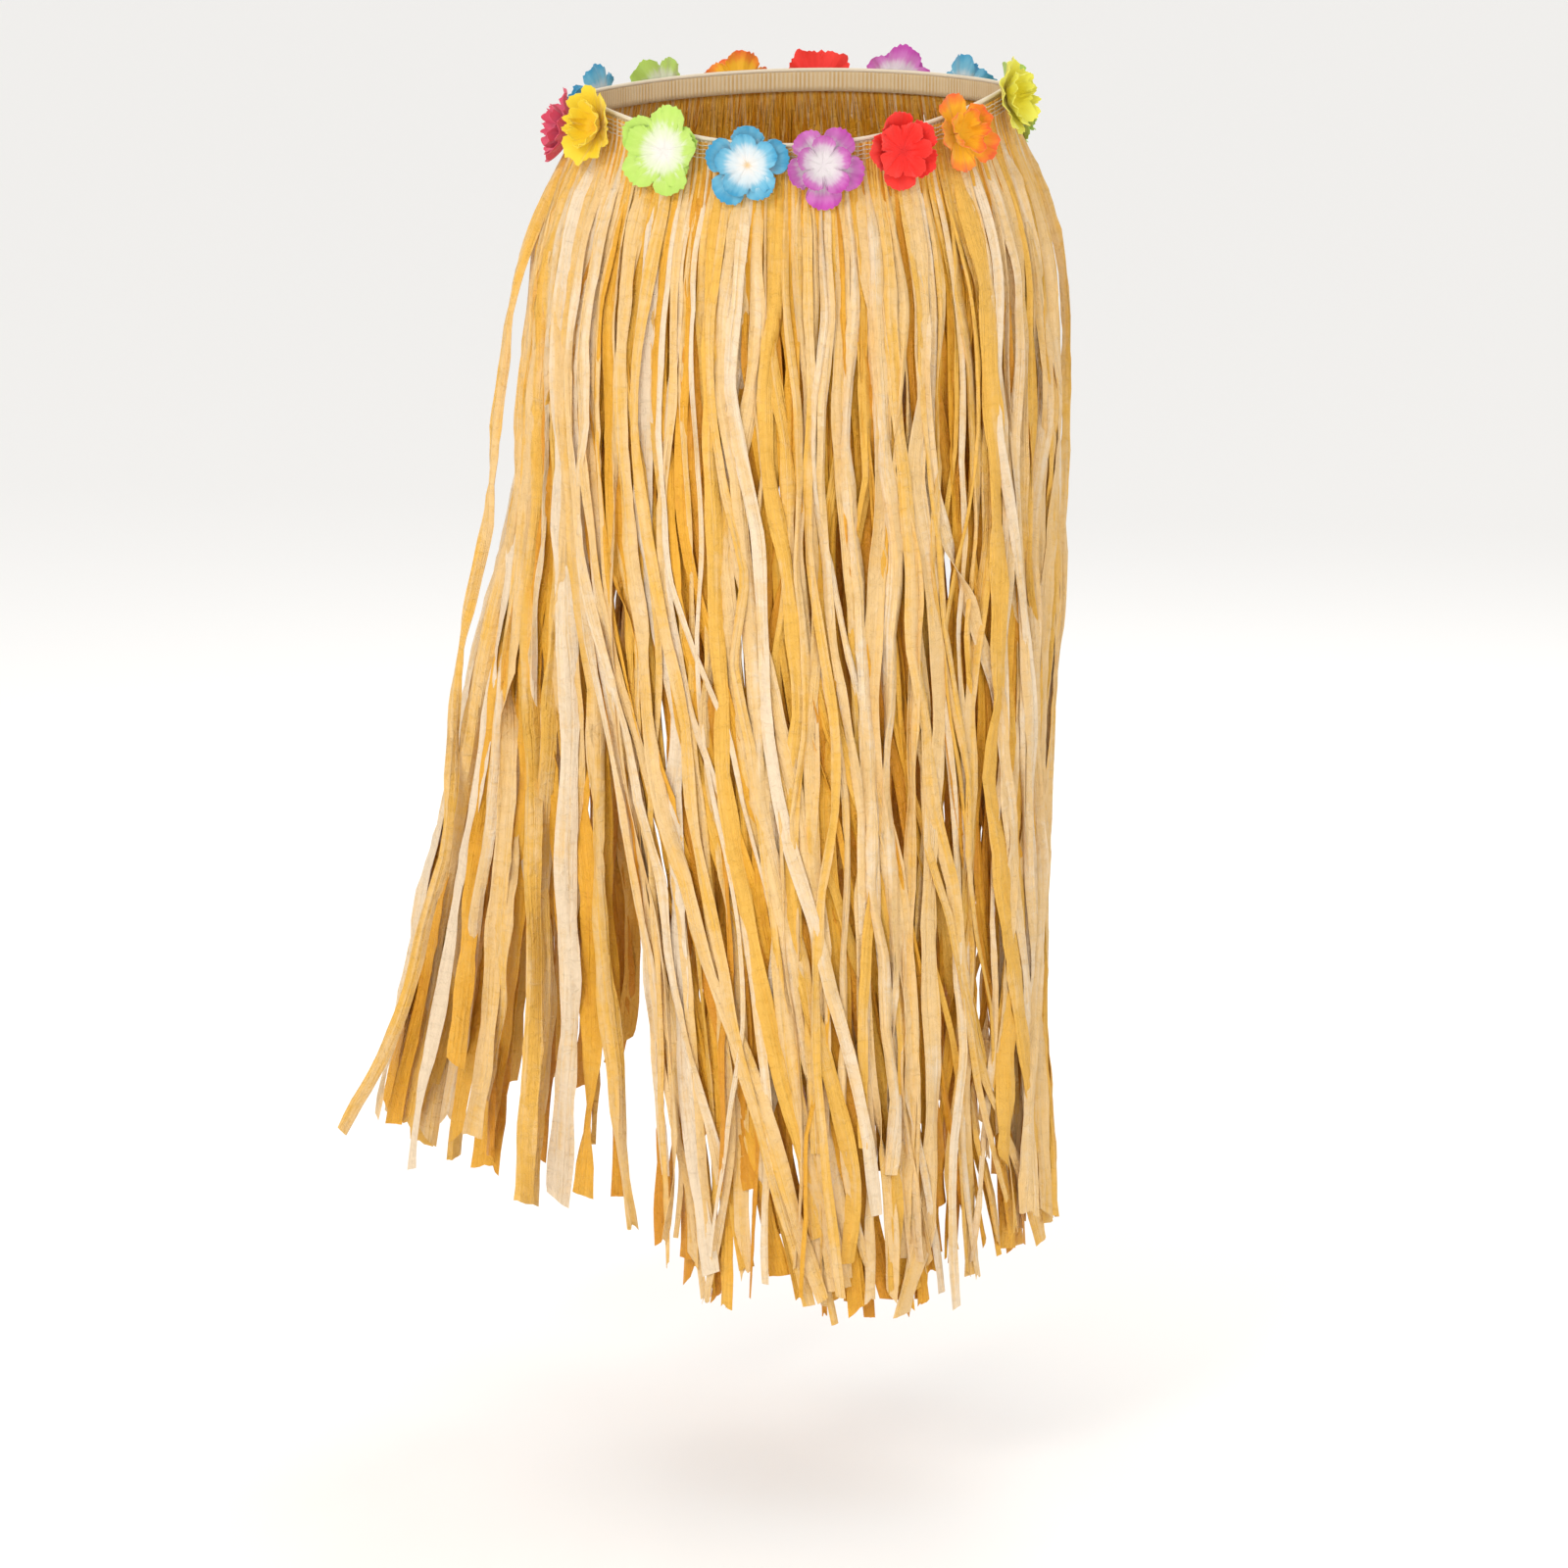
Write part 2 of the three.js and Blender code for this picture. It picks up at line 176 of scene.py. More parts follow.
def swingAt(arc, key):
    at = arc / lockPitch
    at = at - np.round(at / band["locks"]) * band["locks"]
    return np.interp(at, [row["at"] for row in swings], [row[key] for row in swings]) * mm


def bandRise(angle):
    along = np.cos(angle)
    dip = np.where(along > 0, -band["frontDip"], band["backRise"]) * along**2
    return dip + math.tan(band["roll"]) * band["side"] * np.sin(angle)


# Points on the middle of the raffia. headArc is where a strip was sewn, which sets its swing.
def formPoint(arc, drop, headArc=None):
    headArc = arc if headArc is None else headArc
    angle = angleAt(arc)
    across, along = np.sin(angle), np.cos(angle)
    reach = np.where(along > 0, levelAt("front", drop), levelAt("back", drop)) * mm
    swing = levelAt("swing", drop)
    x = across * levelAt("side", drop) * mm + swing * swingAt(headArc, "right")
    y = -along * reach + swing * swingAt(headArc, "back")
    return np.stack([x, y, bandRise(angle) - drop + 0 * x], axis=-1)


def unit(vectors):
    return vectors / np.maximum(np.linalg.norm(vectors, axis=-1, keepdims=True), 1e-12)


def smooth(value, start, end):
    t = np.clip((value - start) / (end - start), 0, 1)
    return t * t * (3 - 2 * t)


# Finishes.
def newMaterial(name):
    material = bpy.data.materials.new(name)
    material.use_nodes = True
    return material, material.node_tree.nodes, material.node_tree.links


def addNode(nodes, kind, **values):
    node = nodes.new(kind)
    for key, value in values.items():
        if key in node.inputs:
            node.inputs[key].default_value = value
        else:
            setattr(node, key, value)
    return node


def colourRamp(nodes, stops):
    ramp = nodes.new("ShaderNodeValToRGB")
    ramp.color_ramp.interpolation = "EASE"
    while len(ramp.color_ramp.elements) < len(stops):
        ramp.color_ramp.elements.new(0.5)
    for element, (place, colour) in zip(ramp.color_ramp.elements, stops):
        element.position = place
        element.color = (*colour, 1)
    return ramp


# socket * weight + other
def weighed(material, socket, weight, other=0.0):
    nodes, links = material.node_tree.nodes, material.node_tree.links
    sums = nodes.new("ShaderNodeMath")
    sums.operation = "MULTIPLY_ADD"
    links.new(socket, sums.inputs[0])
    sums.inputs[1].default_value = weight
    if isinstance(other, float):
        sums.inputs[2].default_value = other
    else:
        links.new(other, sums.inputs[2])
    return sums.outputs[0]


def stretchedUv(material, layer, across, along):
    nodes, links = material.node_tree.nodes, material.node_tree.links
    uv = addNode(nodes, "ShaderNodeUVMap", uv_map=layer)
    mapping = nodes.new("ShaderNodeMapping")
    mapping.inputs["Scale"].default_value = (across, along, 1)
    links.new(uv.outputs["UV"], mapping.inputs["Vector"])
    return mapping.outputs["Vector"]


# Satin split palm leaf: long fibres, short crinkles across, pale straw to gold. Part of the gold is painted
# shade, and the crinkles carry painted light and shade.
straw = {
    "stops": [
        (0.10, (0.80, 0.635, 0.44)),
        (0.32, (0.78, 0.515, 0.22)),
        (0.54, (0.77, 0.425, 0.06)),
        (0.80, (0.77, 0.37, 0.018)),
        (1.0, (0.64, 0.26, 0.005)),
    ],
    "roughness": (0.3, 0.56),
    "bump": 2.6 * mm,
}


def strawFinish():
    material, nodes, links = newMaterial("raffiaStraw")
    shader = nodes["Principled BSDF"]
    # each strip's own tone, with painted shade on inner and deeper cloth and painted light on the trailing
    # strips
    toneAndShade = addNode(nodes, "ShaderNodeAttribute", attribute_name="toneAndShade")
    fibres = addNode(nodes, "ShaderNodeTexNoise", Scale=1.0, Detail=3.0, Roughness=0.6)
    links.new(stretchedUv(material, "strip", 1500, 9), fibres.inputs["Vector"])
    crinkleReliefAndShade = addNode(nodes, "ShaderNodeTexNoise", Scale=1.0, Detail=4.0, Roughness=0.62, Distortion=0.8)
    links.new(stretchedUv(material, "strip", 110, 150), crinkleReliefAndShade.inputs["Vector"])
    blotches = addNode(nodes, "ShaderNodeTexNoise", Scale=1.0, Detail=2.0)
    links.new(stretchedUv(material, "strip", 60, 16), blotches.inputs["Vector"])
    streaks = addNode(nodes, "ShaderNodeTexNoise", Scale=1.0, Detail=2.0)
    links.new(stretchedUv(material, "strip", 420, 4), streaks.inputs["Vector"])

    shade = weighed(material, fibres.outputs["Fac"], 0.2, toneAndShade.outputs["Fac"])
    shade = weighed(material, streaks.outputs["Fac"], 0.3, shade)
    shade = weighed(material, blotches.outputs["Fac"], 0.44, shade)
    # painted light and shade on the crinkles: the crinkle pattern that bumps the strip also lightens and
    # darkens its colour
    shade = weighed(material, crinkleReliefAndShade.outputs["Fac"], 0.24, shade)
    ramp = colourRamp(nodes, straw["stops"])
    links.new(shade, ramp.inputs["Fac"])
    links.new(ramp.outputs["Color"], shader.inputs["Base Color"])

    gloss = addNode(nodes, "ShaderNodeMapRange")
    gloss.inputs["To Min"].default_value, gloss.inputs["To Max"].default_value = straw["roughness"]
    links.new(fibres.outputs["Fac"], gloss.inputs["Value"])
    links.new(gloss.outputs["Result"], shader.inputs["Roughness"])
    shader.inputs["Specular IOR Level"].default_value = 0.5

    height = weighed(material, fibres.outputs["Fac"], 0.4, crinkleReliefAndShade.outputs["Fac"])
    height = weighed(material, streaks.outputs["Fac"], 0.7, height)
    bump = addNode(nodes, "ShaderNodeBump", Strength=1.0, Distance=straw["bump"])
    links.new(height, bump.inputs["Height"])
    links.new(bump.outputs["Normal"], shader.inputs["Normal"])
    return material


# Cream ribbed elastic, with painted shade darkening its grooves.
def elasticFinish():
    material, nodes, links = newMaterial("creamElastic")
    shader = nodes["Principled BSDF"]
    paintedGrooveShade = addNode(nodes, "ShaderNodeAttribute", attribute_name="paintedGrooveShade")
    place = nodes.new("ShaderNodeTexCoord")
    knit = addNode(nodes, "ShaderNodeTexNoise", Scale=1400.0, Detail=2.0)
    links.new(place.outputs["Object"], knit.inputs["Vector"])
    stops = [(0.0, (0.74, 0.65, 0.50)), (0.55, (0.68, 0.52, 0.30)), (1.0, (0.55, 0.33, 0.11))]
    ramp = colourRamp(nodes, stops)
    links.new(paintedGrooveShade.outputs["Fac"], ramp.inputs["Fac"])
    links.new(ramp.outputs["Color"], shader.inputs["Base Color"])
    bump = addNode(nodes, "ShaderNodeBump", Strength=0.4, Distance=0.5 * mm)
    links.new(knit.outputs["Fac"], bump.inputs["Height"])
    links.new(bump.outputs["Normal"], shader.inputs["Normal"])
    shader.inputs["Roughness"].default_value = 0.82
    return material


# Dyed cloth, coloured from the middle of the flower (0.15) out to its rim (1).
dyes = {
    "pink": [(0.15, (0.684, 0.319, 0.38)), (0.5, (0.654, 0.114, 0.205)), (1.0, (0.623, 0.046, 0.106))],
    "yellow": [(0.15, (0.78, 0.44, 0.006)), (0.6, (0.83, 0.59, 0.008)), (1.0, (0.82, 0.62, 0.025))],
    "lemon": [(0.15, (0.70, 0.54, 0.015)), (0.6, (0.78, 0.70, 0.03)), (1.0, (0.76, 0.74, 0.08))],
    "green": [
        (0.3, (0.707, 0.684, 0.646)),
        (0.56, (0.654, 0.699, 0.502)),
        (0.76, (0.456, 0.646, 0.122)),
        (1.0, (0.418, 0.631, 0.099)),
    ],
    "blue": [
        (0.17, (0.714, 0.502, 0.258)),
        (0.27, (0.707, 0.684, 0.654)),
        (0.52, (0.593, 0.661, 0.692)),
        (0.76, (0.14, 0.43, 0.60)),
        (1.0, (0.03, 0.29, 0.50)),
    ],
    "purple": [
        (0.4, (0.699, 0.669, 0.669)),
        (0.6, (0.654, 0.547, 0.623)),
        (0.8, (0.55, 0.15, 0.46)),
        (1.0, (0.48, 0.045, 0.37)),
    ],
    "red": [(0.15, (0.68, 0.007, 0.005)), (0.6, (0.84, 0.016, 0.008)), (1.0, (0.86, 0.024, 0.012))],
    "orange": [
        (0.15, (0.86, 0.50, 0.006)),
        (0.70, (0.88, 0.46, 0.006)),
        (0.88, (0.86, 0.24, 0.01)),
        (1.0, (0.82, 0.12, 0.014)),
    ],
}


def petalFinish(name):
    material, nodes, links = newMaterial(name + "Petals")
    shader = nodes["Principled BSDF"]
    reach = addNode(nodes, "ShaderNodeAttribute", attribute_name="reach")
    streaks = addNode(nodes, "ShaderNodeTexNoise", Scale=1.0, Detail=3.0)
    links.new(stretchedUv(material, "petal", 46, 1.6), streaks.inputs["Vector"])
    ramp = colourRamp(nodes, dyes[name])
    links.new(weighed(material, streaks.outputs["Fac"], 0.3, reach.outputs["Fac"]), ramp.inputs["Fac"])
    links.new(ramp.outputs["Color"], shader.inputs["Base Color"])
    place = nodes.new("ShaderNodeTexCoord")
    weave = addNode(nodes, "ShaderNodeTexNoise", Scale=2200.0, Detail=1.0)
    links.new(place.outputs["Object"], weave.inputs["Vector"])
    bump = addNode(nodes, "ShaderNodeBump", Strength=0.45, Distance=0.6 * mm)
    links.new(weighed(material, streaks.outputs["Fac"], 1.6, weave.outputs["Fac"]), bump.inputs["Height"])
    links.new(bump.outputs["Normal"], shader.inputs["Normal"])
    shader.inputs["Roughness"].default_value = 0.6
    shader.inputs["Sheen Weight"].default_value = 0.2
    return material


# Raffia: in each lock an outer and an inner layer of strips, sewn on side by side at their heads.
raffia = {
    "length": 790 * mm,
    "perLock": 14,
    "rows": 76,
    "across": [-1, -0.62, -0.21, 0.21, 0.62, 1],
    "thickness": 0.35 * mm,
    "headInset": 3.5 * mm,
    "headWidth": 2.7 * mm,
    "seed": 41,
}
rng = np.random.default_rng(raffia["seed"])


# soft wandering from about -1 to 1 along each of count strips
def slowWave(count, place, fewest, most, parts=3):
    total = np.zeros((count, len(place)))
    for _ in range(parts):
        turns = rng.uniform(fewest, most, (count, 1))
        total += np.sin(2 * math.pi * (turns * place[None, :] + rng.uniform(0, 1, (count, 1))))
    return total / parts**0.5 / 1.2


# wandering with sharp bends at its knots
def kinkedWave(count, place, knots):
    marks = np.linspace(0, 1, knots)
    return np.array([np.interp(place, marks, rng.normal(0, 1, knots)) for _ in range(count)])


# How the strips hang together, in metres and radians.
drape = {
    "longest": 0.86,
    "opens": (8 * mm, 62 * mm),  # the lengths over which a strip opens out from its head
    "loosens": (45 * mm, 170 * mm),
    "clumps": (40 * mm, 240 * mm),  # the drops over which strips begin to clump
    "clumpPitch": 51 * mm,
    "clumpPull": 5.2 * mm,
    "tuftPitch": 21 * mm,
    "tuftPull": 2.0 * mm,
    "swellPitch": 63 * mm,
    "swell": 1.4 * mm,
    "sinkPitch": 0.17,
    "sink": 0.9 * mm,
    "wander": 5.5 * mm,
    "kink": 1.8 * mm,
    "tremble": 0.5 * mm,
    "sway": 0.33,
    "twitch": 0.19,
    "flipSpan": 0.06,  # of the strip's length, each side of where it turns over
    "slowUneven": 0.12,  # of the strip's width
    "quickUneven": 0.13,
    "crumple": 0.07,
    "pucker": 0.09,
    "splitWidth": 0.35,
    "deepest": 1.5 * mm,
    # painted shade: the cloth is coloured a darker gold for each mm that it lies deeper
    "deepPaintedShade": 0.035,  # golden shade for each mm that the cloth lies deeper
}


# the drop at which each strip has used up each of its lengths
def alongLength(headArc, lengths):
    drops = np.arange(raffia["headInset"] - band["height"] / 2, drape["longest"], 5 * mm)
    grid = formPoint(headArc[:, None], drops[None, :])
    steps = np.linalg.norm(np.diff(grid, axis=1), axis=2)
    used = np.concatenate([np.zeros((len(headArc), 1)), np.cumsum(steps, axis=1)], axis=1)
    return np.array([np.interp(want, have, drops) for want, have in zip(lengths, used)])


# neighbouring strips lean together and part again, which opens long gaps between them
def clumping(arc, drop, inner):
    turns = 2 * math.pi * arc
    wave = turns / drape["clumpPitch"] + inner * 2.1
    wave = wave + 2.2 * np.sin(drop / (0.13 + 0.05 * inner) + arc * 9)
    finer = turns / drape["tuftPitch"] + inner * 4.0 + 1.8 * np.sin(drop / 0.085 + arc * 23)
    pull = drape["clumpPull"] * np.sin(wave) + drape["tuftPull"] * np.sin(finer)
    return smooth(drop, *drape["clumps"]) * (1 - 0.45 * inner) * pull


# the raffia swells and sinks as a whole, which keeps its layers apart
def billow(arc, drop):
    around = 2 * math.pi * arc / drape["swellPitch"]
    swell = drape["swell"] * np.sin(around + 1.3 + 1.1 * np.sin(drop / 0.11))
    return swell + drape["sink"] * np.sin(2 * math.pi * drop / drape["sinkPitch"] + arc * 40)


# Closed thin ribbons, one for each head: points[strip, row, section], where their cloth is on the
# flat, and its area. sprung gives how far a strip stands out of its lock, from its drop.
def stripShapes(headArc, look, sprung=None):
    count = len(headArc)
    place = np.linspace(0, 1, raffia["rows"]) ** 1.1
    length = look["length"][:, None] * place[None, :]
    drop = alongLength(headArc, length)

    opened = smooth(length, *drape["opens"])
    loose = smooth(length, *drape["loosens"])
    sweep = look["sweep"][:, None] * smooth(place[None, :], look["sweepFrom"][:, None], 1.25) * 1.5
    wander = drape["wander"] * slowWave(count, place, 0.6, 2.4) * smooth(length, 20 * mm, 260 * mm)
    kinks = drape["kink"] * kinkedWave(count, place, 15) * smooth(length, 30 * mm, 120 * mm)
    splay = look["splay"][:, None] * smooth(place, 0.68, 1.1)[None, :]
    arc = headArc[:, None] + sweep + wander + kinks + splay
    arc = arc + clumping(headArc[:, None], drop, look["inner"][:, None])
    points = formPoint(arc, drop, headArc[:, None])

    down = unit(np.gradient(points, axis=1))
    step = 0.4 * mm
    after = formPoint(arc + step, drop, headArc[:, None] + step)
    before = formPoint(arc - step, drop, headArc[:, None] - step)
    out = unit(np.cross(down, after - before))

    stand = look["depth"][:, None] * smooth(length, 15 * mm, 110 * mm)
    stand = stand + billow(arc, drop) * loose
    tremble = slowWave(count, place, 0.8, 3.2) + 0.8 * kinkedWave(count, place, 23)
    stand = stand + drape["tremble"] * tremble * loose
    stand = stand + look["flare"][:, None] * smooth(place, 0.45, 1)[None, :] ** 1.5
    if sprung is not None:
        stand = stand + sprung(drop)
    points = points + out * stand[..., None]

    # turn the cloth about its own length
    down = unit(np.gradient(points, axis=1))
    side = unit(np.cross(out, down))
    out = unit(np.cross(down, side))
    flipAt = look["flipAt"][:, None]
    flip = smooth(place[None, :], flipAt - drape["flipSpan"], flipAt + drape["flipSpan"])
    twist = look["turn"][:, None] * opened + drape["sway"] * slowWave(count, place, 1.5, 6.5) * loose
    twist = twist + drape["twitch"] * kinkedWave(count, place, 19) * loose
    twist = (twist + look["flip"][:, None] * math.pi * flip)[..., None]
    cosine, sine = np.cos(twist), np.sin(twist)
    side, out = side * cosine + out * sine, out * cosine - side * sine

    # the section: a strip is gathered at its head, pleated under it, and lies open further down
    width = raffia["headWidth"] + (look["width"][:, None] - raffia["headWidth"]) * opened
    uneven = drape["slowUneven"] * slowWave(count, place, 1.5, 5)
    uneven = uneven + drape["quickUneven"] * slowWave(count, place, 6, 15)
    width = width * (1 + uneven * opened)
    pleat = 0.5 + 0.45 * smooth(length, 6 * mm, 40 * mm)
    foldShare = 0.6 + 0.55 * np.abs(slowWave(count, place, 1.0, 4.0))
    fold = pleat * (1 - opened) + look["fold"][:, None] * foldShare * opened
    across = np.array(raffia["across"])
    q = across[None, None, :] + 0 * width[..., None]
    crease = (look["crease"][:, None] * opened)[..., None]
    bend = np.abs(q - crease)
    flat = np.sign(q - crease) * bend * np.cos(fold)[..., None]
    raised = -bend * np.sin(fold)[..., None] + look["cup"][:, None, None] * q**2 * opened[..., None]
    crumple = drape["crumple"] * rng.normal(0, 1, q.shape)
    crumple = crumple + drape["pucker"] * kinkedWave(count, place, 40)[..., None] * np.abs(q)
    raised = raised + crumple * opened[..., None]
    half = width[..., None] / 2
    flat = (flat - flat.mean(axis=2, keepdims=True)) * half
    raised = (raised - raised.mean(axis=2, keepdims=True)) * half
    along = unit(np.stack([np.gradient(flat, axis=2), np.gradient(raised, axis=2)], axis=-1))
    wall = raffia["thickness"] / 2
    leanFlat, leanRaised = along[..., 1] * wall, along[..., 0] * wall
    loopFlat = np.concatenate([flat - leanFlat, (flat + leanFlat)[..., ::-1]], axis=2)
    loopRaised = np.concatenate([raised + leanRaised, (raised - leanRaised)[..., ::-1]], axis=2)
    loop = points[:, :, None, :] + side[:, :, None, :] * loopFlat[..., None]
    loop = loop + out[:, :, None, :] * loopRaised[..., None]

    # the ends are cut aslant, and some have split a little
    both = np.concatenate([across, across[::-1]])[None, :]
    cut = look["slant"][:, None] * look["width"][:, None] * both
    fromCrease = (both - look["crease"][:, None]) / drape["splitWidth"]
    cut = cut - look["split"][:, None] * np.exp(-(fromCrease**2))
    loop[:, -1] += down[:, -1, None, :] * cut[..., None]
    u = both[None] * width[..., None] / 2 + look["uvShift"][:, None, None]
    v = length[..., None] + look["uvShift"][:, None, None] * 7 + 0 * u
    area = (width[:, 1:] + width[:, :-1]) / 2 * np.diff(length, axis=1)
    # painted shade: the deeper the cloth lies, the darker gold it is coloured
    depth = np.minimum(stand, drape["deepest"]) / mm
    toneAndShade = look["toneAndShade"][:, None] - depth * drape["deepPaintedShade"] * opened
    return loop, np.stack([u, v], axis=-1), toneAndShade, float(area.sum())


# joins the ribbons of loop[strip, row, section] into one mesh of closed tubes
def ribbonMesh(name, loop, uv, toneAndShade):
    count, rows, ring = loop.shape[:3]
    base = np.arange(count * rows * ring).reshape(count, rows, ring)
    nextRing = np.roll(base, -1, axis=2)
    walls = np.stack([base[:, :-1], nextRing[:, :-1], nextRing[:, 1:], base[:, 1:]], axis=-1).reshape(-1, 4)
    left = np.arange(ring // 2 - 1)
    right = ring - 1 - left
    first, last = base[:, 0], base[:, -1]
    heads = np.stack([first[:, left], first[:, right], first[:, right - 1], first[:, left + 1]], axis=-1)
    feet = np.stack([last[:, left], last[:, left + 1], last[:, right - 1], last[:, right]], axis=-1)
    faces = np.concatenate([walls, heads.reshape(-1, 4), feet.reshape(-1, 4)])
    mesh = bpy.data.meshes.new(name)
    mesh.from_pydata(loop.reshape(-1, 3).tolist(), [], faces.tolist())
    layer = mesh.uv_layers.new(name="strip")
    layer.data.foreach_set("uv", uv.reshape(-1, 2)[faces.reshape(-1)].reshape(-1).astype(np.float32))
    # the strips' tone, with painted shade and painted light in it
    attribute = mesh.attributes.new("toneAndShade", "FLOAT", "POINT")
    attribute.data.foreach_set("value", np.repeat(toneAndShade, ring).astype(np.float32))
    piece = bpy.data.objects.new(name, mesh)
    bpy.context.collection.objects.link(piece)
    selectOnly(piece)
    bpy.ops.object.shade_smooth_by_angle(angle=math.radians(55))
    return piece


def selectOnly(piece):
    bpy.ops.object.select_all(action="DESELECT")
    piece.select_set(True)
    bpy.context.view_layer.objects.active = piece


# How strips lie. Lengths are in mm, angles in radians, and shares are of the strips. A pair of
# numbers is a range, or a middle and a spread where the name says usual.
habits = {
    "sweptShare": 0.5,  # leaning to the right, across the front
    "sweptBy": (12, 66),
    "lean": 12,
    "sweepFrom": (0.1, 0.5),
    "splay": 16,
    "shortShare": 0.12,
    "shortBy": (15, 95),
    "hemUsual": (-9, 13),
    "hemLowest": 12,
    "foldedShare": 0.25,
    "foldedBy": (0.6, 1.2),
    "openBy": (0.04, 0.36),
    "boldShare": 0.16,
    "boldWidth": (11, 16),
    "widthUsual": (2.0, 0.36),  # of the width's logarithm
    "widthRange": (3, 12),
    "widest": 16,
    "layerStep": 1.6,
    "layerLoose": (-0.3, 0.3),
    "flare": 4.5,
    "flungFlare": 15,
    "turn": 0.15,
    "flipShare": 0.12,
    "flipAt": (0.2, 0.9),
    "cup": 0.1,
    "crease": (-0.6, 0.6),
    "slant": 0.3,
    "splitShare": 0.4,
    "splitBy": (1, 7),
    "toneSpread": 0.12,
    "toneMost": 0.17,
}


# How each strip happens to lie. Its layers are the numbers in order outwards, inner ones negative.
def drawLook(headArc, layer):
    count = len(headArc)
    inner = layer < 0
    at = headArc / lockPitch
    at = at - np.round(at / band["locks"]) * band["locks"]
    front = smooth(at, -4.7, -4.3) * (1 - smooth(at, 1.5, 6.5))
    trailing = (at > -10.5) & (at < -4.5)
    hindmost = trailing & (at < -8)
    parting = trailing & (at > -7)
    rightSide = (at > 4) & (at < 9.5)

    def some(share):
        return rng.random(count) < habits[share]

    def between(span):
        return rng.uniform(*habits[span], count)

    def about(spread):
        return rng.normal(0, habits[spread], count)

    swept = some("sweptShare") * between("sweptBy") * front
    sweep = (about("lean") * (1 - 0.6 * front) + swept) * mm
    short = some("shortShare") * between("shortBy")
    hem = np.minimum(rng.normal(*habits["hemUsual"], count), habits["hemLowest"])
    folded = some("foldedShare")
    bold = some("boldShare")
    flung = bold & (at > 4.4) & (at < 7.8)
    boldWidth = between("boldWidth")
    usualWidth = np.clip(rng.lognormal(*habits["widthUsual"], count), *habits["widthRange"])
    spread = 1 + 0.22 * trailing + 0.38 * parting  # the step pulls these strips apart
    look = {
        "inner": inner.astype(float),
        "length": raffia["length"] + (hem - short) * mm,
        "width": np.minimum(np.where(bold, boldWidth, usualWidth) * spread, habits["widest"]) * mm,
        "sweep": sweep,
        "sweepFrom": between("sweepFrom"),
        "splay": about("splay") * (1 - 0.6 * hindmost) * mm,
    }
    layerDepth = layer * habits["layerStep"] + np.where(inner, 0.4, -0.9)
    look["depth"] = (layerDepth + between("layerLoose") + swept * 0.05) * mm
    flare = about("flare") + np.where(inner, -2, 3)
    look["flare"] = (flare + habits["flungFlare"] * flung - 12 * hindmost) * mm
    look["turn"] = about("turn") - 0.38 * trailing + 0.3 * rightSide
    look["flip"] = some("flipShare") * rng.choice([-1.0, 1.0], count)
    look["flipAt"] = between("flipAt")
    look["fold"] = np.where(folded, between("foldedBy"), between("openBy"))
    look["cup"] = about("cup")
    look["crease"] = between("crease")
    look["slant"] = about("slant")
    look["split"] = some("splitShare") * between("splitBy") * mm
    # Painted shade: inner strips are coloured a deeper gold than outer ones. Painted light: the strips of
    # the trailing group are coloured paler.
    paintedLayerShadeAndLight = np.where(inner, 0.24 - 0.1 * trailing, -0.17)
    look["toneAndShade"] = paintedLayerShadeAndLight + np.minimum(about("toneSpread"), habits["toneMost"]) - 0.06 * trailing
    look["uvShift"] = rng.uniform(0, 40, count)
    return look


strawCloth = strawFinish()
for lock in range(band["locks"]):
    heads = (np.arange(raffia["perLock"]) + 0.5) / raffia["perLock"] - 0.5
    headArc = (lock + heads) * lockPitch + rng.uniform(-0.25, 0.25, raffia["perLock"]) * mm
    order = np.arange(raffia["perLock"])
    layer = np.where(order % 2 == 1, -1, 1) * (1 + (order // 2 + lock) % 3)
    look = drawLook(headArc, layer)
    loop, uv, toneAndShade, area = stripShapes(headArc, look)
    piece = ribbonMesh(f"raffia_strips_{lock + 1:02d}", loop, uv, toneAndShade)
    piece.data.materials.append(strawCloth)
    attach(piece, "root")
    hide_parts(f"raffia_lock_{lock + 1:02d}")
print("raffia hung")

# Two strips that have sprung out. A route gives how far one stands off its lock at each drop, mm.
strays = [
    {
        "name": "left",
        "at": -6.6,
        "width": 10.5 * mm,
        "turn": -0.8,
        "fold": 0.5,
        "route": [(0, 0), (52, 5), (90, 10), (150, 19), (215, 22), (290, 19), (370, 25), (450, 17)]
        + [(540, 10), (620, 19), (690, 37), (752, 62)],
    },
    {
        "name": "right",
        "at": 7.1,
        "width": 10 * mm,
        "turn": 0.7,
        "fold": 0.8,
        "route": [(0, 0), (56, 8), (100, 12), (160, 14), (230, 13), (300, 9), (380, 8), (470, 9)]
        + [(560, 12), (650, 10), (730, 12)],
    },
]
for stray in strays:
    drops, outs = np.array(stray["route"]).T * mm
    headArc = np.array([stray["at"]]) * lockPitch
    look = drawLook(headArc, np.array([1]))
    fixed = {"length": raffia["length"] * 0.985, "toneAndShade": -0.12}
    fixed.update({key: stray[key] for key in ("width", "turn", "fold")})
    fixed.update({key: 0 for key in ("split", "sweep", "splay", "depth", "flare", "flip")})
    look.update({key: np.array([float(value)]) for key, value in fixed.items()})
    loop, uv, toneAndShade, area = stripShapes(headArc, look, lambda drop: np.interp(drop, drops, outs))
    piece = ribbonMesh("sprung_strip_" + stray["name"], loop, uv, toneAndShade)
    piece.data.materials.append(strawCloth)
    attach(piece, "root")
    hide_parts("stray_strand_" + stray["name"])
print("sprung strips hung")

